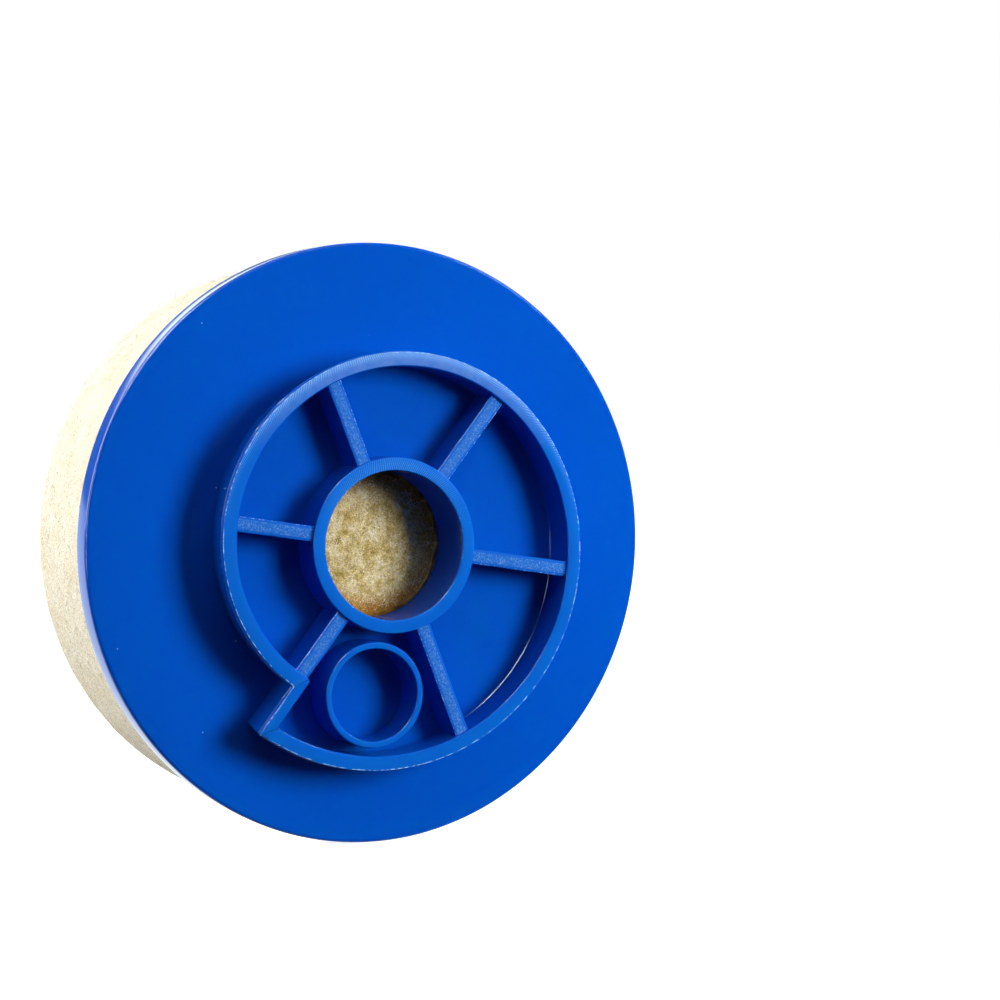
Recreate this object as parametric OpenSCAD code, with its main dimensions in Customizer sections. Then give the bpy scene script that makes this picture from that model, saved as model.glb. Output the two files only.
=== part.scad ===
// Felt polishing wheel with a moulded snail-lock backing, 130 mm class.
// Millimetres.  The wheel turns about Y: the lock faces -Y, the felt's working face +Y, and Z is up.
// The origin is on the wheel's axis, in the plane of the backing plate's back face.

/* [Backing plate] */
// Outer diameter of the moulded plate
plate_d = 130; // [100:1:150]
// Width of the rim band, from the plate's back face to the lip's crest
rim_w = 6; // [4.5:0.1:9]
// Thickness of the tray floor the felt is glued to
floor_t = 3; // [2:0.1:4]
// Width of the lip's flat crest around the felt
lip_land = 1.1; // [0.6:0.1:2]
// Rounding of the rim's two outer edges
rim_round = 0.5; // [0.2:0.1:1]

/* [Snail lock] */
// Height of the spiral wall above the plate's back face
boss_h = 9.7; // [7:0.1:13]
// Spiral radius at the inner corner of the step
spiral_r0 = 37.2; // [34:0.1:40]
// Growth of the spiral over one turn, which is the length of the step
spiral_rise = 12.1; // [8:0.1:14]
// How far the spiral is drawn in at its flattest, a third of the way round
spiral_slack = 0.9; // [0:0.1:2]
// Angle of the step, seen from the back, counter-clockwise from the right
step_angle = 231.2; // [0:0.1:360]
// Thickness of the spiral wall
wall_t = 3.2; // [2:0.1:4.5]
// Thickness of the wall behind the step's flat face
step_t = 2.4; // [1.5:0.1:4]
// Height of the straight land at the crest, above the undercut
land_h = 1.2; // [0.6:0.1:2.5]
// Size of the spiral's foot, as a part of its crest: less than 1 undercuts the wall
foot_scale = 0.97; // [0.94:0.005:1]
// Depth of the pockets below the spiral's crest
pocket_depth = 8.2; // [5:0.1:9]

/* [Hub and ribs] */
// Diameter of the pilot bore
bore_d = 32; // [20:0.1:35]
// Thickness of the hub ring's wall
hub_wall = 2.8; // [1.5:0.1:4]
// Number of ribs from the hub to the spiral wall
ribs = 6; // [3:1:8]
// Angle of the first rib, seen from the back
rib_angle = 51.5; // [0:0.5:120]
// Thickness of a rib
rib_t = 3.3; // [1.5:0.1:4]
// Drop of the ribs' tops below the spiral's crest
rib_drop = 0.8; // [0:0.1:3]

/* [Round ring in the pocket] */
// Outer diameter of the ring
ring_d = 22.5; // [12:0.1:24]
// Thickness of the ring's wall
ring_wall = 1.35; // [0.8:0.05:3]
// Distance of the ring's centre from the wheel's axis
ring_r = 32.1; // [28:0.1:34]
// Angle of the ring, seen from the back
ring_angle = 261.5; // [240:0.5:280]

/* [Felt and adhesive] */
// Diameter of the pressed wool felt
felt_d = 125; // [90:0.5:127]
// Thickness of the felt
felt_t = 39.5; // [10:0.5:60]
// Rounding of the felt's working edge
felt_round = 1.0; // [0.3:0.1:3]
// Thickness of the adhesive film under the felt
glue_t = 0.5; // [0.2:0.1:1.2]
// Height of the squeezed-out bead up the felt's foot
bead_h = 2.2; // [1:0.1:3]

/* [Hidden] */
plate_r = plate_d / 2;
bore_r = bore_d / 2;
hub_r = bore_r + hub_wall;
felt_r = felt_d / 2;
lip_r = plate_r - lip_land;          // inner edge of the lip's crest
groove_r = felt_r + 0.4;             // inner edge of the tray floor's corner
phi0 = -step_angle;                  // angles run the other way seen from the felt side
turns = 132;                         // straight pieces in one turn of the spiral
blue = [0.02, 0.32, 0.75];
amber = [0.62, 0.42, 0.16];
wool = [0.90, 0.86, 0.76];

// how far round the spiral an angle is, 0 at the inner corner of the step and 1 at the outer
function part(phi) = ((((phi - phi0) % 360) + 360) % 360) / 360;
// the spiral's outer radius after a part t of its turn: r = r0 + rise * t, less the slack
function slack(t) = t < 0.10 || t > 0.55 ? 0 : spiral_slack * pow(sin(180 * (t - 0.10) / 0.45), 2);
function radius_after(t) = spiral_r0 + spiral_rise * t - slack(t);
function spiral_r(phi) = radius_after(part(phi));
// the spiral's outline, moved in by d
function spiral(d) = [for (i = [0:turns])
    (radius_after(i / turns) - d) * [cos(phi0 + 360 * i / turns), sin(phi0 + 360 * i / turns)]];

// stands the wheel up: its axis from +Z to +Y
module upright() rotate([-90, 0, 0]) children();

// the plate: a disc with a rounded rim and a lip round the felt's tray
module tray() rotate_extrude($fn = 180) polygon([
    [0, 0], [plate_r - rim_round, 0], [plate_r - 0.29 * rim_round, 0.29 * rim_round],
    [plate_r, rim_round], [plate_r, rim_w - rim_round],
    [plate_r - 0.29 * rim_round, rim_w - 0.29 * rim_round], [plate_r - rim_round, rim_w],
    [lip_r, rim_w], [groove_r, floor_t], [0, floor_t]]);

// one ring of the body's corners: the outline at height z, drawn in by factor k
function ring_at(z, k) = [for (p = spiral(0)) [k * p[0], k * p[1], z]];

// the spiral body, wider at its crest than at its foot, which is sunk 0.5 into the plate
module spiral_body() {
    n = turns + 1;
    taper = (1 - foot_scale) / (boss_h - land_h);
    polyhedron(
        points = concat(ring_at(-boss_h, 1), ring_at(land_h - boss_h, 1),
            ring_at(0.5, foot_scale - 0.5 * taper)),
        faces = concat([[for (i = [0:n - 1]) i]], [[for (i = [0:n - 1]) 2 * n + (n - i) % n]],
            [for (k = [0:1]) for (i = [0:n - 1]) let (j = (i + 1) % n)
                [k * n + i, k * n + n + i, k * n + n + j, k * n + j]]));
}

// the hollow inside the spiral wall, cut short by the wall behind the step's face
module cavity() {
    r1 = spiral_r0 + spiral_rise - wall_t;
    stop = phi0 - asin(step_t / r1);
    translate([0, 0, -boss_h - 1]) linear_extrude(height = pocket_depth + 1) polygon(concat(
        [for (i = [0:turns - 2]) spiral(wall_t)[i]], [r1 * [cos(stop), sin(stop)]],
        [[(spiral_r0 - wall_t) * cos(phi0) + step_t * sin(phi0),
          (spiral_r0 - wall_t) * sin(phi0) - step_t * cos(phi0)]]));
}

module rib(phi) {
    end = abs(part(phi) - 1) < 0.01 ? spiral_r0 - wall_t / 2 : spiral_r(phi) - wall_t / 2;
    rotate([0, 0, phi]) translate([bore_r + hub_wall / 2, -rib_t / 2, rib_drop - boss_h])
        cube([end - bore_r - hub_wall / 2, rib_t, boss_h - rib_drop + 0.5]);
}

module backing() color(blue) upright() difference() {
    union() {
        tray();
        difference() {
            spiral_body();
            cavity();
        }
        for (i = [0:ribs - 1]) rib(-(rib_angle + 360 * i / ribs));
        translate([0, 0, -boss_h]) cylinder(r = hub_r, h = boss_h + 0.5, $fn = 120);
        translate([ring_r * cos(-ring_angle), ring_r * sin(-ring_angle), -boss_h]) difference() {
            cylinder(d = ring_d, h = boss_h + 0.5, $fn = 96);
            translate([0, 0, -1]) cylinder(r = ring_d / 2 - ring_wall, h = pocket_depth + 1, $fn = 96);
        }
    }
    translate([0, 0, -boss_h - 1]) cylinder(r = bore_r, h = boss_h + floor_t + 2, $fn = 120);
}

// the film runs a little into the bore, where it was squeezed out
module adhesive_film() color(amber) upright() translate([0, 0, floor_t]) difference() {
    cylinder(r = felt_r, h = glue_t, $fn = 180);
    translate([0, 0, -1]) cylinder(r = bore_r - 0.7, h = glue_t + 2, $fn = 120);
}

// a hollow fillet between the felt's foot and the lip's slope
module adhesive_bead() color(amber) upright() rotate_extrude($fn = 180) polygon([
    [felt_r, floor_t], [groove_r, floor_t],
    [groove_r + (lip_r - groove_r) * 0.5, floor_t + (rim_w - floor_t) * 0.5],
    [felt_r + 0.35, floor_t + bead_h * 0.72], [felt_r, floor_t + bead_h]]);

module felt() color(wool) upright() translate([0, 0, floor_t + glue_t]) rotate_extrude($fn = 180) polygon([
    [0, 0], [felt_r, 0], [felt_r, felt_t - felt_round],
    [felt_r - 0.13 * felt_round, felt_t - 0.5 * felt_round],
    [felt_r - 0.5 * felt_round, felt_t - 0.13 * felt_round],
    [felt_r - felt_round, felt_t], [0, felt_t]]);

backing();
adhesive_film();
adhesive_bead();
felt();
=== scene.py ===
"""Felt polishing wheel with a snail-lock backing: the looks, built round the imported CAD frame.

Axes as in the frame: the wheel turns about Y, its lock faces -Y, its felt +Y, and Z is up.
Shapes are worked out in millimetres and put into the meshes in metres.
"""

import math

import bmesh
import bpy
import numpy as np
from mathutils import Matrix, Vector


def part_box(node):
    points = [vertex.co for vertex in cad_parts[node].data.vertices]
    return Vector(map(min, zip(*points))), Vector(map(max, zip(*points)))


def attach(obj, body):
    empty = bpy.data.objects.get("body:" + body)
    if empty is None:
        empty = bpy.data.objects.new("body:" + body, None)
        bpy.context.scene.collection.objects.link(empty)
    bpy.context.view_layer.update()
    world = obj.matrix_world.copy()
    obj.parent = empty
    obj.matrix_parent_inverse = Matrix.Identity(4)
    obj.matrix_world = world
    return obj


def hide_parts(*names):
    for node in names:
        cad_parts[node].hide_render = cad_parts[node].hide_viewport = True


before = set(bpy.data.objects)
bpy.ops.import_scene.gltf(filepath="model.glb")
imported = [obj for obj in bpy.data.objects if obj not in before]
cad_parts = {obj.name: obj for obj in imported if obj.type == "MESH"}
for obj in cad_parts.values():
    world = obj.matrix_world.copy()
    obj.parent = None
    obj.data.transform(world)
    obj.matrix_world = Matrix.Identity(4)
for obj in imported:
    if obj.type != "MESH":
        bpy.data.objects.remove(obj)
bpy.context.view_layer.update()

MM = 0.001
TAU = 2 * math.pi

# ---------------------------------------------------------------- sizes, in mm
back_lo, back_hi = (np.array(c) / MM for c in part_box("backing"))
felt_lo, felt_hi = (np.array(c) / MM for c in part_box("felt"))
film_lo, film_hi = (np.array(c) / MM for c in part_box("adhesive_film"))
PLATE_R = round(back_hi[2])             # outer radius of the plate
CREST_Y = back_lo[1]                    # plane of the spiral's crest and the hub's
LIP_Y = back_hi[1]                      # crest of the lip round the felt
TRAY_Y = film_lo[1]                     # floor of the felt's tray
FELT_Y0, FELT_Y1 = felt_lo[1], felt_hi[1]
FELT_R = felt_hi[2]
BORE_R, HUB_R = 16.0, 18.8
SPIRAL_R0, SPIRAL_RISE = 37.2, 12.1     # radius at the step's inner corner, and growth in a turn
STEP_ANGLE = math.radians(231.2)        # the step's face, seen from the back
SPIRAL_SLACK = 0.9                      # how far the spiral is drawn in a third of the way round
SLACK_FROM, SLACK_RUN = 0.10, 0.45      # where in the turn that starts, and how long it lasts
WALL_T, STEP_T = 3.2, 2.4               # spiral wall, and the wall behind the step's face
LAND, FOOT_SCALE = 1.2, 0.97            # straight land at the crest, and the foot's size below it
FLOOR_Y = CREST_Y + 8.2                 # floor of the pockets
RIB_ANGLE, RIB_T, RIB_DROP, RIBS = math.radians(51.5), 3.3, 0.8, 6
RING_R, RING_WALL = 11.25, 1.35         # the small ring in the pocket under the hub
RING_AT = 32.1 * np.array([math.cos(math.radians(261.5)), math.sin(math.radians(261.5))])
EDGE = 0.22                             # rounding of a moulded edge
RIM_ROUND, LIP_ROUND = 0.8, 0.4         # rounding of the rim band's two edges, back and lip
LIP_LAND = 1.1                          # flat crest of the lip
GROOVE_R = FELT_R + 0.4                 # inner edge of the tray's corner
FELT_ROUND = 1.0                        # rounding of the felt's working edge
SUNK = 0.4                              # how deep a moulded piece's foot is sunk into the plate
LEVEL = 0.02                            # how far below a crest still counts as the crest
SLANT = 0.8                             # how far a tool mark leans across a crest
TICK = 0.45                             # spacing of the tool marks
SHARP = math.radians(38)                # an edge sharper than this isn't shaded smooth


# ---------------------------------------------------------------- mesh helpers
def grid_faces(nu, nv, wrap_u, wrap_v):
    """Quads of an nu by nv grid of points; a wrapped direction joins its last row to its first."""
    u = np.arange(nu if wrap_u else nu - 1)
    v = np.arange(nv if wrap_v else nv - 1)
    a, b = np.meshgrid(u, v, indexing="ij")
    a2, b2 = (a + 1) % nu, (b + 1) % nv
    return np.stack([a * nv + b, a2 * nv + b, a2 * nv + b2, a * nv + b2], -1).reshape(-1, 4)


def add_piece(name, shells, materials, node, uv=None):
    """Makes one object of closed shells in mm, each (points, faces), or (points, faces, material
    index per face) where it has two materials."""
    points, faces, picks, base = [], [], [], 0
    for pts, fcs, *mat in shells:
        points.append(np.asarray(pts, float).reshape(-1, 3))
        faces += [[i + base for i in f] for f in fcs]
        picks += list(mat[0]) if mat else [0] * len(fcs)
        base += len(points[-1])
    mesh = bpy.data.meshes.new(name)
    mesh.from_pydata(np.concatenate(points) * MM, [], faces)
    for m in materials:
        mesh.materials.append(m)
    mesh.polygons.foreach_set("material_index", np.array(picks, np.int32))
    if uv is not None:
        layer = mesh.uv_layers.new(name="along")
        corner = np.zeros(len(mesh.loops), np.int32)
        mesh.loops.foreach_get("vertex_index", corner)
        layer.data.foreach_set("uv", uv[corner].ravel())
    bm = bmesh.new()
    bm.from_mesh(mesh)
    bmesh.ops.recalc_face_normals(bm, faces=bm.faces)
    bm.to_mesh(mesh)
    bm.free()
    mesh.shade_smooth()
    mesh.set_sharp_from_angle(angle=SHARP)
    piece = bpy.data.objects.new(name, mesh)
    bpy.context.scene.collection.objects.link(piece)
    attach(piece, "root")
    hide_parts(node)
    return piece


def arc(cx, cy, r, a0, a1, n=5):
    """Points of a circular arc from angle a0 to a1, in degrees."""
    t = np.radians(np.linspace(a0, a1, n))
    return np.stack([cx + r * np.cos(t), cy + r * np.sin(t)], 1)


def fill_in(profile, step):
    """The same outline with points added so that no stretch is longer than step."""
    out = []
    for p, q in zip(profile, np.roll(profile, -1, 0), strict=True):
        k = max(1, int(np.ceil(np.linalg.norm(q - p) / step)))
        out.append(p + (q - p) * np.arange(k)[:, None] / k)
    return np.concatenate(out)


def revolve(profile, n, cx=0.0, cz=0.0):
    """A closed (r, y) outline turned about the line x = cx, z = cz, in n steps."""
    t = np.arange(n) * TAU / n
    r, y = profile[:, 0], profile[:, 1]
    x = cx + np.cos(t)[:, None] * r[None]
    z = cz + np.sin(t)[:, None] * r[None]
    return np.stack([x, np.broadcast_to(y, x.shape), z], -1)


def value_noise(x, y, z, seed):
    """Smooth noise from -1 to 1: random values on an integer lattice, blended by a cubic."""
    table = np.random.default_rng(seed).uniform(-1, 1, (16, 16, 16))
    cell = [np.floor(c).astype(int) for c in (x, y, z)]
    part = [c - k for c, k in zip((x, y, z), cell, strict=True)]
    part = [p * p * (3 - 2 * p) for p in part]
    out = 0
    for corner in np.ndindex(2, 2, 2):
        weight = 1
        for p, c in zip(part, corner, strict=True):
            weight = weight * (p if c else 1 - p)
        i, j, k = [(c + o) % 16 for c, o in zip(cell, corner, strict=True)]
        out = out + weight * table[i, j, k]
    return out


# ---------------------------------------------------------------- material helpers
RAMP, MIX = "ShaderNodeValToRGB", "ShaderNodeMix"
WAVE = 0.314                            # length of one wave of a wave texture of scale 1
BLENDED = {"data_type": "RGBA"}
MULTIPLIED = {"data_type": "RGBA", "blend_type": "MULTIPLY"}
TIMES = {"operation": "MULTIPLY"}


def srgb(code):
    """An sRGB hex colour as linear RGBA."""
    parts = [int(code[i:i + 2], 16) / 255 for i in (1, 3, 5)]
    linear = [c / 12.92 if c <= 0.04045 else ((c + 0.055) / 1.055) ** 2.4 for c in parts]
    return (*linear, 1.0)


def feed(node, **links):
    """Fills a node's inputs by socket name, or by number as in0, with values or other sockets."""
    for key, value in links.items():
        socket = node.inputs[int(key[2:]) if key[2:].isdigit() else key.replace("_", " ")]
        if isinstance(value, bpy.types.NodeSocket):
            node.id_data.links.new(value, socket)
        else:
            socket.default_value = value


def add(tree, kind, settings=None, **links):
    """Adds a node: settings by attribute name, a ramp's stops as (position, colour or grey), and
    its inputs as feed takes them."""
    node = tree.nodes.new(kind)
    for key, value in (settings or {}).items():
        if key != "stops":
            setattr(node, key, value)
            continue
        keys = node.color_ramp.elements
        while len(keys) < len(value):
            keys.new(0.5)
        for stop, (at, colour) in zip(keys, value, strict=True):
            stop.position = at
            stop.color = colour if isinstance(colour, tuple) else (colour, colour, colour, 1)
    feed(node, **links)
    return node


def new_material(name):
    """An empty node material with its Principled shader and the piece's object coordinates."""
    material = bpy.data.materials.new(name)
    material.use_nodes = True
    tree = material.node_tree
    tree.nodes.clear()
    shader = add(tree, "ShaderNodeBsdfPrincipled")
    add(tree, "ShaderNodeOutputMaterial", Surface=shader.outputs["BSDF"])
    where = add(tree, "ShaderNodeTexCoord")
    return material, tree, shader, where.outputs["Object"]


# ---------------------------------------------------------------- materials
def glow_within(shader):
    """The pigmented plastic's gloss, and light that wanders under its skin, farthest in blue."""
    feed(shader, Subsurface_Weight=0.35, Subsurface_Radius=(0.15, 0.5, 1.0), Subsurface_Scale=2.2 * MM,
         Specular_IOR_Level=0.3, IOR=1.5)


def moulded_abs():
    """Glossy injection-moulded ABS: even royal blue, a polished tool's shine, faint orange peel, and
    a speck of dust every 20 mm or so."""
    material, tree, shader, where = new_material("moulded_abs_blue")
    flow = add(tree, "ShaderNodeTexNoise", Vector=where, Scale=25, Detail=1)
    tint = add(tree, RAMP, {"stops": [(0.3, srgb("#0050BC")), (0.7, srgb("#0053C0"))]},
               Fac=flow.outputs["Fac"]).outputs[0]
    split = add(tree, "ShaderNodeSeparateXYZ", Vector=where)
    face = add(tree, "ShaderNodeCombineXYZ", X=split.outputs["X"], Y=split.outputs["Z"])
    dust = add(tree, "ShaderNodeTexVoronoi", {"voronoi_dimensions": "2D"}, Vector=face.outputs["Vector"],
               Scale=55)
    speck = add(tree, RAMP, {"stops": [(0.004, 1.0), (0.010, 0.0)]},
                Fac=dust.outputs["Distance"]).outputs[0]
    kept = add(tree, RAMP, {"stops": [(0.55, 0.0), (0.60, 0.9)]}, Fac=dust.outputs["Color"]).outputs[0]
    settled = add(tree, MIX, MULTIPLIED, in0=1.0, in6=speck, in7=kept).outputs[2]
    dusty = add(tree, MIX, BLENDED, in0=settled, in6=tint, in7=srgb("#8CC0F4")).outputs[2]
    haze = add(tree, "ShaderNodeTexNoise", Vector=where, Scale=60, Detail=3)
    rough = add(tree, "ShaderNodeMapRange", Value=haze.outputs["Fac"], To_Min=0.13, To_Max=0.17)
    peel = add(tree, "ShaderNodeTexNoise", Vector=where, Scale=500, Detail=1)
    bump = add(tree, "ShaderNodeBump", Height=peel.outputs["Fac"], Strength=0.2, Distance=0.02 * MM)
    glow_within(shader)
    feed(shader, Base_Color=dusty, Roughness=rough.outputs["Result"], Normal=bump.outputs["Normal"])
    return material


def pocket_abs():
    """The pockets' floor: the same ABS off a tool face left less polished, so hazier."""
    material, tree, shader, where = new_material("moulded_abs_blue_hazy")
    cloud = add(tree, "ShaderNodeTexNoise", Vector=where, Scale=70, Detail=4, Roughness=0.6,
                Distortion=0.8)
    tint = add(tree, RAMP, {"stops": [(0.30, srgb("#004CB2")), (0.55, srgb("#004FB6")),
               (0.75, srgb("#0052B8"))]}, Fac=cloud.outputs["Fac"]).outputs[0]
    rough = add(tree, "ShaderNodeMapRange", Value=cloud.outputs["Fac"], To_Min=0.20, To_Max=0.28)
    swirl = add(tree, "ShaderNodeTexNoise", Vector=where, Scale=700, Detail=2)
    bump = add(tree, "ShaderNodeBump", Height=swirl.outputs["Fac"], Strength=0.3, Distance=0.02 * MM)
    glow_within(shader)
    feed(shader, Base_Color=tint, Roughness=rough.outputs["Result"], Normal=bump.outputs["Normal"])
    return material


def tool_marked_abs():
    """The crests: the cutter's chatter left in the tool, slanted lines 0.45 mm apart that are crisp
    along v = 0 and fade across it; a painted sheen makes them stronger and paler towards the top of the
    wheel and paints the crest paler above the hub. A dull sheen, and a painted highlight of pale specks
    along v = 0."""
    material, tree, shader, where = new_material("tool_marked_abs_blue")
    along = add(tree, "ShaderNodeUVMap", {"uv_map": "along"})
    split = add(tree, "ShaderNodeSeparateXYZ", Vector=along.outputs["UV"])
    lines = add(tree, "ShaderNodeTexWave", {"bands_direction": "X"}, Vector=along.outputs["UV"],
                Scale=WAVE / TICK, Distortion=1.1, Detail=2.0, Detail_Scale=2.0)
    fade = add(tree, "ShaderNodeMapRange", Value=split.outputs["Y"], From_Min=0.15, From_Max=0.75,
               To_Min=1.0, To_Max=0.25)
    place = add(tree, "ShaderNodeSeparateXYZ", Vector=where)
    # painted sheen: the real marks are made stronger, and so paler, towards the top of the wheel, as if
    # lit from above
    marks_and_sheen_by_height = add(tree, "ShaderNodeMapRange", Value=place.outputs["Z"], From_Min=-14 * MM,
                 From_Max=44 * MM, To_Min=0.15, To_Max=1.1)
    depth = add(tree, "ShaderNodeMath", TIMES, in0=fade.outputs["Result"], in1=marks_and_sheen_by_height.outputs["Result"])
    tick = add(tree, "ShaderNodeMath", TIMES, in0=lines.outputs["Fac"], in1=depth.outputs[0])
    tint = add(tree, RAMP, {"stops": [(0.0, srgb("#005EC2")), (0.45, srgb("#026CD0")),
               (0.88, srgb("#78B8F4"))]}, Fac=tick.outputs[0]).outputs[0]
    # painted sheen: above the hub the crest is painted paler, standing in for light from above falling on
    # it
    sheen_noise = add(tree, "ShaderNodeTexNoise", Vector=where, Scale=420, Detail=4, Roughness=0.7)
    high = add(tree, "ShaderNodeMapRange", Value=place.outputs["Z"], From_Min=20 * MM, From_Max=38 * MM,
               To_Min=0.0, To_Max=0.36)
    painted_top_sheen = add(tree, "ShaderNodeMath", TIMES, in0=sheen_noise.outputs["Fac"], in1=high.outputs["Result"])
    tint = add(tree, MIX, BLENDED, in0=painted_top_sheen.outputs[0], in6=tint, in7=srgb("#A9C0DE")).outputs[2]
    # painted highlight: pale specks along v = 0 stand in for light caught by the crest's rounded edge
    edge_glint_noise = add(tree, "ShaderNodeTexNoise", Vector=where, Scale=1100, Detail=2)
    edge = add(tree, "ShaderNodeMapRange", Value=split.outputs["Y"], From_Min=0.0, From_Max=0.10,
               To_Min=0.75, To_Max=0.0)
    burr = add(tree, "ShaderNodeMath", TIMES, in0=edge_glint_noise.outputs["Fac"], in1=edge.outputs["Result"])
    painted_edge_glint_mask = add(tree, RAMP, {"stops": [(0.36, 0.0), (0.46, 1.0)]}, Fac=burr.outputs[0]).outputs[0]
    with_painted_edge_glint = add(tree, MIX, BLENDED, in0=painted_edge_glint_mask, in6=tint, in7=srgb("#A9D4FF")).outputs[2]
    bump = add(tree, "ShaderNodeBump", Height=tick.outputs[0], Strength=0.8, Distance=0.04 * MM)
    glow_within(shader)
    feed(shader, Base_Color=with_painted_edge_glint, Normal=bump.outputs["Normal"], Roughness=0.36)
    return material


def spark_eroded_abs():
    """The ribs' tops: the sandy print of a spark-eroded slot down the middle (v = 0), with smooth
    drawn edges."""
    material, tree, shader, where = new_material("spark_eroded_abs_blue")
    along = add(tree, "ShaderNodeUVMap", {"uv_map": "along"})
    split = add(tree, "ShaderNodeSeparateXYZ", Vector=along.outputs["UV"])
    off = add(tree, "ShaderNodeMath", {"operation": "ABSOLUTE"}, in0=split.outputs["Y"])
    middle = add(tree, "ShaderNodeMapRange", Value=off.outputs[0], From_Min=1.0, From_Max=1.4, To_Min=1.0,
                 To_Max=0.0)
    sand = add(tree, "ShaderNodeTexNoise", Vector=where, Scale=3000, Detail=3, Roughness=0.75)
    print_depth = add(tree, "ShaderNodeMath", TIMES, in0=sand.outputs["Fac"],
                      in1=middle.outputs["Result"])
    tint = add(tree, RAMP, {"stops": [(0.28, srgb("#005AC2")), (0.42, srgb("#0E62C0")),
               (0.54, srgb("#3270C4")), (0.72, srgb("#7A9FD8"))]}, Fac=print_depth.outputs[0]).outputs[0]
    # painted highlight: one edge of each rib is picked out by pale specks, standing in for light caught
    # along its drawn edge
    rib_glint_noise = add(tree, "ShaderNodeTexNoise", Vector=where, Scale=1500, Detail=3, Roughness=0.7)
    brink = add(tree, "ShaderNodeMapRange", Value=split.outputs["Y"], From_Min=-RIB_T / 2 + 0.15,
                From_Max=-RIB_T / 2 + 0.45, To_Min=1.0, To_Max=0.0)
    painted_rib_edge_glint = add(tree, "ShaderNodeMath", TIMES, in0=rib_glint_noise.outputs["Fac"], in1=brink.outputs["Result"])
    pale = add(tree, RAMP, {"stops": [(0.47, 0.0), (0.58, 1.0)]}, Fac=painted_rib_edge_glint.outputs[0]).outputs[0]
    tint = add(tree, MIX, BLENDED, in0=pale, in6=tint, in7=srgb("#B8DCFF")).outputs[2]
    bump = add(tree, "ShaderNodeBump", Height=print_depth.outputs[0], Strength=0.6, Distance=0.06 * MM)
    glow_within(shader)
    feed(shader, Base_Color=tint, Normal=bump.outputs["Normal"], Roughness=0.55, Specular_IOR_Level=0.2)
    return material


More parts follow.
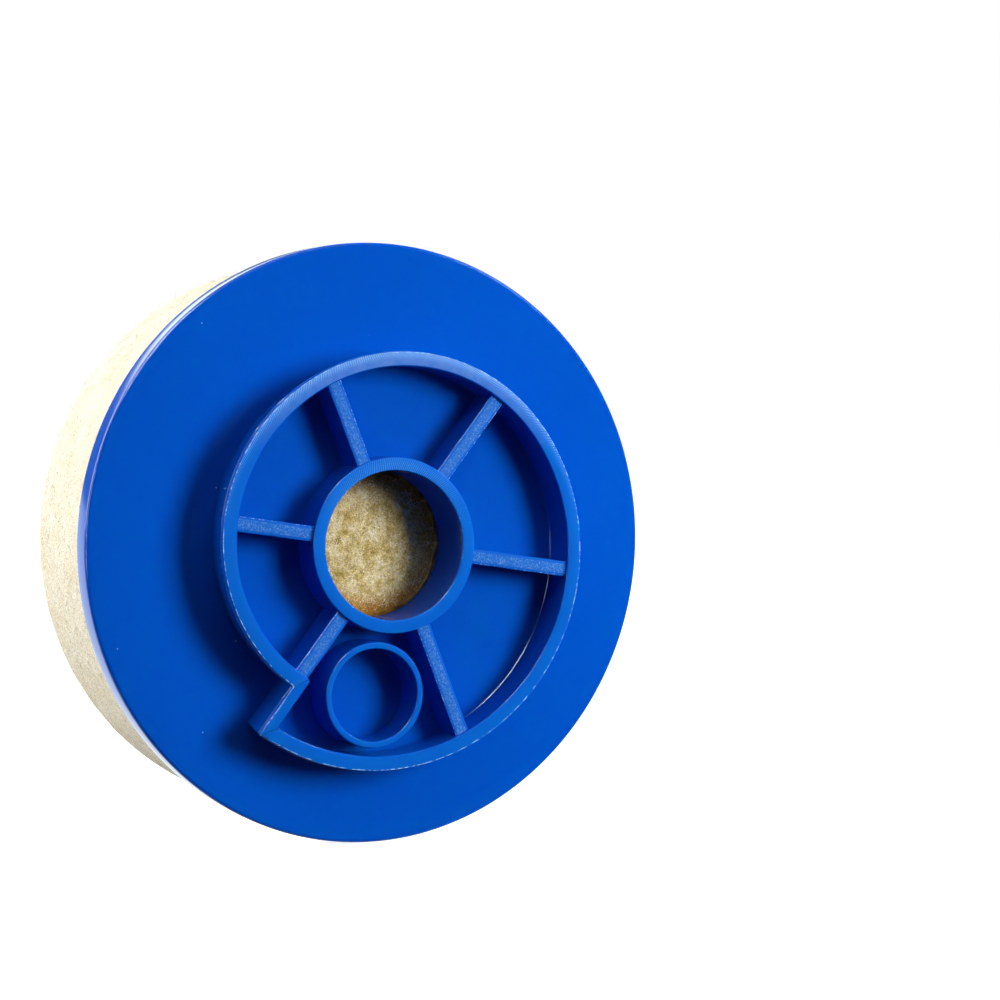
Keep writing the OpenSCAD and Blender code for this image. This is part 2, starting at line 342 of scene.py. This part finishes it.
def pressed_wool():
    """Hard pressed wool: cream, matt, grainy with cut fibre ends 0.3 mm apart, and a few dark hairs.
    It is soaked golden where the adhesive reached, most of all at the bore's edge, and pale specks there
    are a painted glint of single coated fibre ends."""
    material, tree, shader, where = new_material("pressed_wool_cream")
    cloud = add(tree, "ShaderNodeTexNoise", Vector=where, Scale=170, Detail=4, Roughness=0.6)
    wool = add(tree, RAMP, {"stops": [(0.32, srgb("#E6D9B8")), (0.50, srgb("#ECE2C8")),
               (0.70, srgb("#F0E9D4"))]}, Fac=cloud.outputs["Fac"]).outputs[0]
    grain = add(tree, "ShaderNodeTexNoise", Vector=where, Scale=3300, Detail=2, Roughness=0.6)
    ends = add(tree, RAMP, {"stops": [(0.30, 0.48), (0.42, 0.84), (0.56, 1.02), (0.66, 1.30)]},
               Fac=grain.outputs["Fac"]).outputs[0]
    fibre = add(tree, "ShaderNodeTexNoise", Vector=where, Scale=1300, Detail=3, Roughness=0.7,
                Distortion=1.5)
    tuft = add(tree, RAMP, {"stops": [(0.34, 0.74), (0.50, 1.0), (0.68, 1.12)]},
               Fac=fibre.outputs["Fac"]).outputs[0]
    fleck = add(tree, MIX, MULTIPLIED, in0=1.0, in6=ends, in7=tuft).outputs[2]
    grainy = add(tree, MIX, MULTIPLIED, in0=1.0, in6=wool, in7=fleck).outputs[2]
    hairs = add(tree, "ShaderNodeTexVoronoi", Vector=where, Scale=480)
    hair = add(tree, RAMP, {"stops": [(0.07, 1.0), (0.11, 0.0)]},
               Fac=hairs.outputs["Distance"]).outputs[0]
    haired = add(tree, MIX, BLENDED, in0=hair, in6=grainy, in7=srgb("#6E6248")).outputs[2]
    # the soaked part: the back face, inside the bore, and the first millimetres of the side
    split = add(tree, "ShaderNodeSeparateXYZ", Vector=where)
    deep = add(tree, "ShaderNodeMapRange", Value=split.outputs["Y"], From_Min=(FELT_Y0 + 0.4) * MM,
               From_Max=(FELT_Y0 + 3.2) * MM, To_Min=1.0, To_Max=0.0)
    patch = add(tree, "ShaderNodeTexNoise", Vector=where, Scale=330, Detail=5, Roughness=0.75)
    golden = add(tree, RAMP, {"stops": [(0.32, srgb("#94792E")), (0.44, srgb("#BEA45E")),
                 (0.54, srgb("#D6C48C")), (0.68, srgb("#E2D8B4"))]}, Fac=patch.outputs["Fac"]).outputs[0]
    flat = add(tree, "ShaderNodeVectorMath", TIMES, in0=where, in1=(1, 0, 1))
    radius = add(tree, "ShaderNodeVectorMath", {"operation": "LENGTH"}, in0=flat.outputs["Vector"])
    near = add(tree, "ShaderNodeMapRange", Value=radius.outputs["Value"], From_Min=(BORE_R - 6.5) * MM,
               From_Max=(BORE_R - 0.5) * MM, To_Min=0.0, To_Max=1.0)
    squeezed = add(tree, "ShaderNodeMath", TIMES, in0=near.outputs["Result"], in1=patch.outputs["Fac"])
    amber_mask = add(tree, RAMP, {"stops": [(0.12, 0.0), (0.42, 1.0)]},
                     Fac=squeezed.outputs[0]).outputs[0]
    soaked = add(tree, MIX, BLENDED, in0=amber_mask, in6=golden, in7=srgb("#A8741E")).outputs[2]
    # painted glint: sparse pale specks on the soaked part stand in for light glinting off coated fibre
    # ends
    glint = add(tree, "ShaderNodeTexVoronoi", Vector=where, Scale=900)
    sparkle = add(tree, RAMP, {"stops": [(0.17, 1.0), (0.23, 0.0)]},
                  Fac=glint.outputs["Distance"]).outputs[0]
    some = add(tree, RAMP, {"stops": [(0.62, 0.0), (0.66, 1.0)]}, Fac=glint.outputs["Color"]).outputs[0]
    painted_glint_mask = add(tree, MIX, MULTIPLIED, in0=1.0, in6=sparkle, in7=some).outputs[2]
    soaked_fleck = add(tree, MIX, MULTIPLIED, in0=1.0, in6=soaked, in7=fleck).outputs[2]
    soaked_fleck = add(tree, MIX, BLENDED, in0=painted_glint_mask, in6=soaked_fleck, in7=srgb("#FFF6DA")).outputs[2]
    colour = add(tree, MIX, BLENDED, in0=deep.outputs["Result"], in6=haired, in7=soaked_fleck).outputs[2]
    bump = add(tree, "ShaderNodeBump", Height=grain.outputs["Fac"], Strength=0.8, Distance=0.18 * MM)
    feed(shader, Base_Color=colour, Normal=bump.outputs["Normal"], Roughness=0.85, Sheen_Weight=0.12,
         Sheen_Tint=srgb("#FFEFD0"), Sheen_Roughness=0.4)
    return material


def wool_fibre():
    """Single loose wool fibres: pale, a little glossy, so that they sparkle."""
    material, tree, shader, where = new_material("loose_wool_fibre")
    shade = add(tree, "ShaderNodeTexNoise", Vector=where, Scale=400, Detail=1)
    tint = add(tree, RAMP, {"stops": [(0.35, srgb("#CDBE97")), (0.65, srgb("#FBF6E8"))]},
               Fac=shade.outputs["Fac"]).outputs[0]
    feed(shader, Base_Color=tint, Roughness=0.35)
    return material


def cured_adhesive():
    """Cured contact adhesive: amber to dark brown by thickness, a dull wrinkled skin."""
    material, tree, shader, where = new_material("cured_adhesive_amber")
    thick = add(tree, "ShaderNodeTexNoise", Vector=where, Scale=260, Detail=4)
    tint = add(tree, RAMP, {"stops": [(0.30, srgb("#3A2408")), (0.52, srgb("#7A5414")),
               (0.72, srgb("#B98A35"))]}, Fac=thick.outputs["Fac"]).outputs[0]
    skin = add(tree, "ShaderNodeTexNoise", Vector=where, Scale=700, Detail=3)
    bump = add(tree, "ShaderNodeBump", Height=skin.outputs["Fac"], Strength=0.6, Distance=0.15 * MM)
    feed(shader, Base_Color=tint, Normal=bump.outputs["Normal"], Roughness=0.5, Specular_IOR_Level=0.3,
         IOR=1.48)
    return material


def studio_white():
    """Matt white paper sweep."""
    material, tree, shader, where = new_material("white_paper_sweep")
    fine = add(tree, "ShaderNodeTexNoise", Vector=where, Scale=3, Detail=2)
    tint = add(tree, RAMP, {"stops": [(0.3, srgb("#F4F4F2")), (0.7, srgb("#F8F8F6"))]},
               Fac=fine.outputs["Fac"]).outputs[0]
    feed(shader, Base_Color=tint, Roughness=0.9, Specular_IOR_Level=0.1, Emission_Color=srgb("#FFFFFF"),
         Emission_Strength=0.75)
    return material


ABS = moulded_abs()
HAZY = pocket_abs()
MARKED = tool_marked_abs()
ERODED = spark_eroded_abs()
WOOL = pressed_wool()
FIBRE = wool_fibre()
GLUE = cured_adhesive()


# ---------------------------------------------------------------- the moulding
def turned_with_crest(outline, n, r0, r1, widest, cx=0.0, cz=0.0):
    """A turned outline whose crest, from r0 to r1, takes the second material. Its UV is
    u = mean radius * angle + slant, and v = 0 at r0 to widest at r1."""
    pts = revolve(outline, n, cx, cz)
    faces = grid_faces(n, len(outline), True, True)
    y_mid = (outline[:, 1] + np.roll(outline[:, 1], -1)) / 2
    marked = np.tile((y_mid < CREST_Y + LEVEL).astype(int), n)
    across = np.clip((outline[:, 0] - r0) / (r1 - r0), 0, 1)[None, :]
    u = np.arange(n)[:, None] * TAU / n * (r0 + r1) / 2 + SLANT * across
    return pts, faces, marked, np.stack(np.broadcast_arrays(u, widest * across), -1)


def plate_and_hub():
    """One outline turned about the axis: bore, hub crest, back face, rim band, lip and tray floor."""
    crest = np.concatenate([arc(BORE_R + EDGE, CREST_Y + EDGE, EDGE, 180, 270),
                            arc(HUB_R - EDGE, CREST_Y + EDGE, EDGE, 270, 360)])
    outline = fill_in(np.concatenate([
        [[BORE_R, TRAY_Y]], crest, [[HUB_R + 0.12, -0.6], [HUB_R + 0.5, 0]],
        arc(PLATE_R - RIM_ROUND, RIM_ROUND, RIM_ROUND, 270, 360, 9),
        arc(PLATE_R - LIP_ROUND, LIP_Y - LIP_ROUND, LIP_ROUND, 0, 90, 7),
        arc(PLATE_R - LIP_LAND + EDGE, LIP_Y - EDGE, EDGE, 90, 160), [[GROOVE_R, TRAY_Y]]]), 2.5)
    pts, faces, marked, uv = turned_with_crest(outline, 360, BORE_R, HUB_R, 0.35)
    return add_piece("backing_plate_and_hub", [(pts, faces, marked)], [ABS, MARKED],
                     "backing", uv.reshape(-1, 2))


def rounded_corner(before, corner, after, reach, n=9):
    """A corner cut by a curve: (1-t)^2 A + 2t(1-t) C + t^2 B, from reach before it to reach after."""
    a = corner + (before - corner) * reach / np.linalg.norm(before - corner)
    b = corner + (after - corner) * reach / np.linalg.norm(after - corner)
    t = np.linspace(0, 1, n)[:, None]
    return (1 - t) ** 2 * a + 2 * t * (1 - t) * corner + t ** 2 * b


def slack(turn):
    """How far the spiral is drawn in: 0.9 sin^2(pi p), p running 0 to 1 from 0.10 to 0.55 of its turn."""
    return SPIRAL_SLACK * np.sin(math.pi * np.clip((turn - SLACK_FROM) / SLACK_RUN, 0, 1)) ** 2


def spiral_outline(inset, step_inset, n, reach):
    """Closed outline: r = r0 - inset + rise * turn - slack, a corner, the straight step, a corner.
    The corners' curves start and end at reach from them."""
    r_end = SPIRAL_R0 + SPIRAL_RISE - inset
    short = math.asin(step_inset / r_end) if step_inset else 0.0
    s = np.linspace(0, 1, n)
    angle = STEP_ANGLE - (TAU - short) * s
    radius = SPIRAL_R0 - inset + SPIRAL_RISE * s - slack(s)
    curve = np.stack([radius * np.cos(angle), radius * np.sin(angle)], 1)
    inner = np.array([math.cos(STEP_ANGLE), math.sin(STEP_ANGLE)]) * (SPIRAL_R0 - inset)
    side = np.array([-math.sin(STEP_ANGLE), math.cos(STEP_ANGLE)]) * step_inset
    foot = inner + side
    first = rounded_corner(curve[-2], curve[-1], foot, reach)
    last = rounded_corner(curve[-1], foot, curve[1], reach)
    straight = first[-1] + (last[0] - first[-1]) * np.linspace(0, 1, 14)[1:-1, None]
    return np.concatenate([curve[2:-1], first, straight, last])


def outline_normals(outline):
    """Unit normals of a closed outline, to the left of its run."""
    run = np.roll(outline, -1, 0) - np.roll(outline, 1, 0)
    run /= np.linalg.norm(run, axis=1)[:, None]
    return np.stack([-run[:, 1], run[:, 0]], 1)


def spiral_wall():
    """The lock: at each point of the outline a section climbs the undercut outside, crosses the
    rounded crest and goes down the drafted inside to the pocket floor."""
    n = 1400
    outer = spiral_outline(0.0, 0.0, n, 0.45)
    inner = spiral_outline(WALL_T, STEP_T, n, 0.6)
    out_n, in_n = outline_normals(outer), outline_normals(inner)
    out_n *= np.sign((out_n * outer).sum(1).mean())
    in_n *= np.sign((in_n * inner).sum(1).mean())
    # a slight moulding flash along the foot of the land, uneven along the wall
    length = np.concatenate([[0], np.cumsum(np.linalg.norm(np.diff(outer, axis=0), axis=1))])
    nil = length * 0 + 0.5
    flash = (0.11 + 0.05 * value_noise(length * 0.35, nil, nil, 3)
             + 0.03 * value_noise(length * 1.6, nil, nil, 4))
    burr = 0.05 * np.clip(value_noise(length * 0.9, nil, nil, 12)
                          + value_noise(length * 0.2, nil, nil, 13), 0, 1)
    rows, marks = [], []

    def row(xz, y, mark=0):
        rows.append(np.stack([xz[:, 0], np.full(len(xz), y), xz[:, 1]], 1))
        marks.append(mark)

    row(outer * (FOOT_SCALE - 0.002), SUNK)
    for part in np.linspace(0, 1, 5):
        row(outer * (FOOT_SCALE + (1 - FOOT_SCALE) * part), (CREST_Y + LAND) * part)
    row(outer + out_n * flash[:, None], CREST_Y + LAND - 0.12)
    row(outer, CREST_Y + LAND - 0.26)
    for a in np.radians([0, 22, 45, 67, 90]):
        row(outer - out_n * (EDGE * (1 - math.cos(a)) - burr[:, None] * math.sin(2 * a)),
            CREST_Y + EDGE - EDGE * math.sin(a))
    marks[-1] = marks[-2] = 1
    v_split = len(rows)
    for a in np.radians([90, 67, 45, 22, 0]):
        row(inner + in_n * EDGE * (1 - math.cos(a)), CREST_Y + EDGE - EDGE * math.sin(a))
    row(inner - in_n * 0.08, FLOOR_Y - 0.12)
    row(inner - in_n * 0.20, FLOOR_Y)
    row(inner, SUNK)
    pts = np.stack(rows, 1)
    faces = grid_faces(len(outer), len(rows), True, True)
    marked = np.tile(marks, len(outer))
    across = (np.arange(len(rows))[None, :] >= v_split).astype(float)
    uv = np.stack(np.broadcast_arrays(length[:, None] + SLANT * across, across), -1)
    return add_piece("backing_snail_lock_wall", [(pts, faces, marked)], [ABS, MARKED],
                     "backing", uv.reshape(-1, 2))


def pocket_floor():
    """The pockets' floor: rings from inside the hub's wall out to the middle of the spiral wall."""
    edge = spiral_outline(WALL_T - 1.0, STEP_T - 1.0, 300, 0.8)
    hub = edge / np.linalg.norm(edge, axis=1)[:, None] * (HUB_R - 0.8)
    part = np.linspace(0, 1, 24)[None, :, None]
    sheet = hub[:, None] * (1 - part) + edge[:, None] * part
    dip = 0.06 * value_noise(sheet[..., 0] * 0.11, sheet[..., 1] * 0.11, sheet[..., 0] * 0 + 0.4, 8)
    top = np.stack([sheet[..., 0], FLOOR_Y + dip, sheet[..., 1]], -1)
    under = np.stack([sheet[..., 0], np.full(dip.shape, SUNK), sheet[..., 1]], -1)[:, ::-1]
    pts = np.concatenate([top, under], 1)
    faces = grid_faces(len(edge), pts.shape[1], True, True)
    return add_piece("backing_pocket_floor", [(pts, faces)], [HAZY], "backing")


def rib_bars():
    """Six ribs: a section with rounded top edges and drafted sides, run from the hub to the wall."""
    top = CREST_Y + RIB_DROP
    half = RIB_T / 2
    section = np.concatenate([[[-half - 0.18, SUNK]], arc(-half + EDGE, top + EDGE, EDGE, 180, 270),
                              arc(half - EDGE, top + EDGE, EDGE, 270, 360), [[half + 0.18, SUNK]]])
    shells, uvs = [], []
    for k in range(RIBS):
        angle = RIB_ANGLE + k * TAU / RIBS
        turn = ((STEP_ANGLE - angle) % TAU) / TAU
        end = SPIRAL_R0 + SPIRAL_RISE * (turn if turn < 0.99 else 0) - slack(turn) - WALL_T * 0.6
        run = np.linspace((BORE_R + HUB_R) / 2, end, 30)
        wander = 0.05 * value_noise(run * 0.4, run * 0 + k, run * 0 + 0.5, 21)
        side = section[None, :, 0] + wander[:, None]
        dip = 0.04 * value_noise(run * 0.3, run * 0 + k, run * 0 + 5.5, 22)[:, None]
        y = section[None, :, 1] + np.where(section[None, :, 1] < 0, dip, 0)
        pts = np.stack([run[:, None] * math.cos(angle) - side * math.sin(angle),
                        np.broadcast_to(y, side.shape),
                        run[:, None] * math.sin(angle) + side * math.cos(angle)], -1)
        m = len(section)
        faces = [*grid_faces(len(run), m, False, True), list(range(m)),
                 list(range(m * (len(run) - 1), m * len(run)))]
        on_top = (section[:, 1] < top + LEVEL) & (np.roll(section[:, 1], -1) < top + LEVEL)
        shells.append((pts, faces, [*np.tile(on_top.astype(int), len(run) - 1), 0, 0]))
        uvs.append(np.stack(np.broadcast_arrays(run[:, None], section[None, :, 0]), -1).reshape(-1, 2))
    return add_piece("backing_ribs", shells, [ABS, ERODED], "backing", np.concatenate(uvs))


def pocket_ring():
    """The small round ring: a thin tube with a rounded crest."""
    inner = RING_R - RING_WALL
    outline = fill_in(np.concatenate([
        [[inner, SUNK]], [[inner - 0.06, FLOOR_Y]], arc(inner + EDGE, CREST_Y + EDGE, EDGE, 180, 270),
        arc(RING_R - EDGE, CREST_Y + EDGE, EDGE, 270, 360),
        [[RING_R + 0.15, FLOOR_Y], [RING_R + 0.15, SUNK]]]), 1.5)
    pts, faces, marked, uv = turned_with_crest(outline, 160, inner, RING_R, 1.0, *RING_AT)
    return add_piece("backing_pocket_ring", [(pts, faces, marked)], [ABS, MARKED],
                     "backing", uv.reshape(-1, 2))


# ---------------------------------------------------------------- felt and adhesive
def felt_block():
    """A closed outline turned about the axis, its skin moved by noise of 0.1 mm."""
    outline = np.concatenate([
        [[0.02, FELT_Y0], [FELT_R - 0.2, FELT_Y0], [FELT_R, FELT_Y0 + 0.2]],
        arc(FELT_R - FELT_ROUND, FELT_Y1 - FELT_ROUND, FELT_ROUND, 0, 90, 7), [[0.02, FELT_Y1]]])
    outline = fill_in(outline, 1.35)[:-1]
    n = 600
    pts = revolve(outline, n)
    x, y, z = pts[..., 0], pts[..., 1], pts[..., 2]
    lump = (0.05 * value_noise(x * 0.25, y * 0.2, z * 0.25, 1)
            + 0.05 * value_noise(x * 1.1, y * 1.1, z * 1.1, 2))
    lump *= np.clip((np.hypot(x, z) - 2) / 6, 0, 1)
    on_side = ((y > FELT_Y0 + 0.3) & (np.hypot(x, z) > FELT_R - 1.3))
    radial = np.where(on_side, lump, 0) / np.maximum(np.hypot(x, z), 1)
    pts = np.stack([x * (1 + radial), y + np.where(on_side, 0, lump * 0.5), z * (1 + radial)], -1)
    faces = [*grid_faces(n, len(outline), True, False),
             list(range(0, n * len(outline), len(outline))),
             list(range(len(outline) - 1, n * len(outline), len(outline)))]
    return add_piece("pressed_felt", [(pts, faces)], [WOOL], "felt")


def fibres(name, count, place, seed, length=1.6, width=0.035):
    """Loose fibres: each a three-sided tapering strand along P + L (T s + 0.6 B s^2), with its root P
    and the normal there from place()."""
    rng = np.random.default_rng(seed)
    root, outward = place(rng, count)
    lean = rng.normal(0, 1, (count, 3))
    lean -= (lean * outward).sum(1)[:, None] * outward
    lean /= np.linalg.norm(lean, axis=1)[:, None]
    rise = rng.uniform(0.05, 0.5, (count, 1))
    along = lean + outward * rise
    bend = rng.normal(0, 0.45, (count, 3)) - outward * rise * 0.8
    size = length * rng.uniform(0.4, 1.3, (count, 1, 1))
    s = np.linspace(0, 1, 6)[None, :, None]
    path = root[:, None] + size * (along[:, None] * s + bend[:, None] * s ** 2 * 0.6)
    run = np.gradient(path, axis=1)
    run /= np.linalg.norm(run, axis=2)[..., None]
    a = np.cross(run, outward[:, None] + 0.01)
    a /= np.linalg.norm(a, axis=2)[..., None]
    b = np.cross(run, a)
    thick = width * (1 - 0.75 * s)
    ring = [path + thick * (a * math.cos(t) + b * math.sin(t)) for t in (0, TAU / 3, 2 * TAU / 3)]
    pts = np.stack(ring, 2)
    first = np.arange(count)[:, None, None] * 18          # 6 rings of 3 points in a strand
    quads = (grid_faces(6, 3, False, True)[None] + first).reshape(-1, 4)
    tris = (np.array([[0, 1, 2], [15, 17, 16]])[None] + first).reshape(-1, 3)
    faces = [*quads.tolist(), *tris.tolist()]
    return add_piece(name, [(pts, faces)], [FIBRE], "felt")


def around_felt(rng, count, low, high):
    """Roots on the felt's side, from low to high along the axis, and their outward normals."""
    t = rng.uniform(0, TAU, count)
    y = rng.uniform(low, high, count)
    out = np.stack([np.cos(t), 0 * t, np.sin(t)], 1)
    return out * (FELT_R - 0.02) + np.stack([0 * t, y, 0 * t], 1), out


def on_felt_side(rng, count):
    """Roots all over the felt's side."""
    return around_felt(rng, count, FELT_Y0 + 2.6, FELT_Y1 - 0.4)


def on_felt_foot(rng, count):
    """Roots just above the bead, where torn fibres stick out of the adhesive."""
    return around_felt(rng, count, FELT_Y0 + 1.2, FELT_Y0 + 2.8)


def on_felt_back(rng, count):
    """Roots on the felt's back face where the bore leaves it open."""
    t = rng.uniform(0, TAU, count)
    r = (BORE_R - 1.2) * np.sqrt(rng.uniform(0, 1, count))
    root = np.stack([r * np.cos(t), 0 * t + FELT_Y0, r * np.sin(t)], 1)
    return root, np.tile([0.0, -1.0, 0.0], (count, 1))


def adhesive_film():
    """A flat ring whose inner edge wanders where the film was squeezed into the bore."""
    n = 420
    t = np.arange(n) * TAU / n
    wander = 0.35 * value_noise(np.cos(t) * 4 + 5, np.sin(t) * 4 + 5, t * 0 + 0.5, 5)
    wander += 0.2 * value_noise(np.cos(t) * 14 + 5, np.sin(t) * 14 + 5, t * 0 + 0.5, 6)
    inner = BORE_R - 0.75 + wander
    rows = [(inner + 0.1, film_hi[1] - 0.02), (inner, (film_lo[1] + film_hi[1]) / 2),
            (inner + 0.18, film_lo[1] + 0.04), (inner * 0 + BORE_R + 0.4, film_lo[1] + 0.02),
            (inner * 0 + FELT_R - 0.3, film_lo[1] + 0.02), (inner * 0 + FELT_R - 0.3, film_hi[1] - 0.02)]
    pts = np.stack([np.stack([r * np.cos(t), t * 0 + y, r * np.sin(t)], 1) for r, y in rows], 1)
    faces = grid_faces(n, len(rows), True, True)
    return add_piece("adhesive_film_edge", [(pts, faces)], [GLUE], "adhesive_film")


def adhesive_bead():
    """The squeeze-out round the felt's foot: a hollow fillet whose height wanders."""
    n = 900
    t = np.arange(n) * TAU / n
    high = 2.0 + 0.7 * value_noise(np.cos(t) * 11 + 9, np.sin(t) * 11 + 9, t * 0 + 0.5, 7)
    high += 0.35 * value_noise(np.cos(t) * 40 + 9, np.sin(t) * 40 + 9, t * 0 + 0.5, 9)
    wide = 0.75 + 0.25 * value_noise(np.cos(t) * 18 + 9, np.sin(t) * 18 + 9, t * 0 + 0.5, 10)
    base = t * 0 + TRAY_Y
    rows = [(t * 0 + FELT_R - 0.12, base + 0.02), (FELT_R + 0.38 + 0 * t, base + 0.02),
            (FELT_R + wide, base + 1.2), (FELT_R + 0.5 * wide, base + 0.55 * high),
            (FELT_R + 0.16 + 0 * t, base + 0.85 * high), (FELT_R + 0.06 + 0 * t, base + high),
            (t * 0 + FELT_R - 0.12, base + high)]
    pts = np.stack([np.stack([r * np.cos(t), y, r * np.sin(t)], 1) for r, y in rows], 1)
    faces = grid_faces(n, len(rows), True, True)
    return add_piece("adhesive_squeeze_out", [(pts, faces)], [GLUE], "adhesive_bead")


plate_and_hub()
spiral_wall()
pocket_floor()
rib_bars()
pocket_ring()
felt_block()
fibres("felt_side_fibres", 5200, on_felt_side, 31)
fibres("felt_bore_fibres", 1500, on_felt_back, 32, 1.3, 0.03)
fibres("felt_foot_fibres", 1600, on_felt_foot, 33, 1.2, 0.03)
adhesive_film()
adhesive_bead()


# ---------------------------------------------------------------- floor, light and camera
def paper_floor():
    """A flat sheet of paper under the wheel. It throws no light back, so the shade stays deep."""
    reach, floor_z = 6.0, -PLATE_R * MM
    u = np.linspace(-reach, reach, 3)
    pts = np.stack([*np.meshgrid(u, u, indexing="ij"), np.full((3, 3), floor_z)], -1)
    mesh = bpy.data.meshes.new("paper_floor")
    mesh.from_pydata(pts.reshape(-1, 3), [], grid_faces(3, 3, False, False).tolist())
    mesh.materials.append(studio_white())
    sheet = bpy.data.objects.new("paper_floor", mesh)
    sheet.visible_diffuse = False
    sheet.visible_glossy = False
    bpy.context.scene.collection.objects.link(sheet)


def softbox(name, azimuth, elevation, distance, size, power, lights=True, mirrored=True):
    """An area light aimed at the wheel's middle, its distance and size in metres and its power in
    watts. One that isn't mirrored gives no glare on the gloss, and one that lights nothing gives
    only a glare, faintly cyan, as two lamps with crossed polarising sheets do."""
    a, e = math.radians(azimuth), math.radians(elevation)
    light = bpy.data.lights.new(name, "AREA")
    light.shape = "RECTANGLE"
    light.size, light.size_y = size
    light.energy = power
    light.color = (1.0, 1.0, 1.0) if lights else (0.80, 0.96, 1.0)
    lamp = bpy.data.objects.new(name, light)
    lamp.location = (distance * math.sin(a) * math.cos(e), -distance * math.cos(a) * math.cos(e),
                     distance * math.sin(e))
    lamp.rotation_euler = (math.pi / 2 - e, 0, a)
    lamp.visible_camera = False
    lamp.visible_diffuse = lights
    lamp.visible_glossy = mirrored
    # a ray that strays into an unmirrored lamp would carry its glare back, so none is followed there
    light.cycles.use_multiple_importance_sampling = mirrored
    bpy.context.scene.collection.objects.link(lamp)


def room(front):
    """World light. On the lock's side (-Y) a dim bluish room; behind the wheel (+Y) white above, a
    dark gap at eye level and a pale table below. What is seen past the wheel is plain white."""
    world = bpy.data.worlds.new("studio")
    world.use_nodes = True
    tree = world.node_tree
    tree.nodes.clear()
    where = add(tree, "ShaderNodeTexCoord")
    split = add(tree, "ShaderNodeSeparateXYZ", Vector=where.outputs["Generated"])
    height = add(tree, "ShaderNodeMapRange", Value=split.outputs["Z"], From_Min=-1.0)
    behind = add(tree, RAMP, {"stops": [(0.30, 0.75), (0.47, 0.50), (0.53, 0.12), (0.63, 0.12),
                 (0.68, 0.80), (0.90, 0.85)]}, Fac=height.outputs["Result"]).outputs[0]
    side = add(tree, "ShaderNodeMapRange", {"interpolation_type": "SMOOTHSTEP"}, Value=split.outputs["Y"],
               From_Min=-0.35, From_Max=0.25)
    around = add(tree, MIX, BLENDED, in0=side.outputs["Result"], in6=front, in7=behind).outputs[2]
    ray = add(tree, "ShaderNodeLightPath")
    seen = add(tree, MIX, BLENDED, in0=ray.outputs["Is Camera Ray"], in6=around,
               in7=srgb("#FFFFFF")).outputs[2]
    sky = add(tree, "ShaderNodeBackground", Color=seen)
    add(tree, "ShaderNodeOutputWorld", Surface=sky.outputs["Background"])
    bpy.context.scene.world = world


def camera():
    """The view: azimuth and elevation of the back of the wheel, and where the camera stands, in mm."""
    azimuth, elevation = math.radians(-26.9), math.radians(1.81)
    place = np.array([-205.5, -464.0, 25.4])
    lens = bpy.data.cameras.new("camera")
    lens.sensor_width = 36.0
    lens.lens = 84.34
    lens.clip_start = 0.01
    eye = bpy.data.objects.new("camera", lens)
    eye.location = place * MM
    eye.rotation_euler = (math.pi / 2 - elevation, 0, azimuth)
    bpy.context.scene.collection.objects.link(eye)
    bpy.context.scene.camera = eye


DIM_BLUISH = (0.030, 0.034, 0.050, 1.0)
paper_floor()
softbox("key_right", 37, 12, 0.8, (0.32, 0.38), 8.4, mirrored=False)
softbox("sheen_right", 42, 24, 1.3, (0.30, 0.25), 4, lights=False)
softbox("left_behind", -114, 20, 1.1, (0.8, 0.7), 13.5)
softbox("top", -10, 62, 1.2, (1.0, 0.8), 4)
softbox("strip_left", -66, 5, 1.2, (0.25, 0.60), 6, lights=False)
softbox("strip_left_high", -58, 50, 1.2, (0.50, 0.60), 28, lights=False)
softbox("backdrop", 180, 37, 1.2, (2.4, 0.70), 16, lights=False)
softbox("table", 180, -20, 1.2, (2.4, 1.05), 9, lights=False)
room(DIM_BLUISH)
camera()
bpy.context.scene.view_settings.view_transform = "Standard"
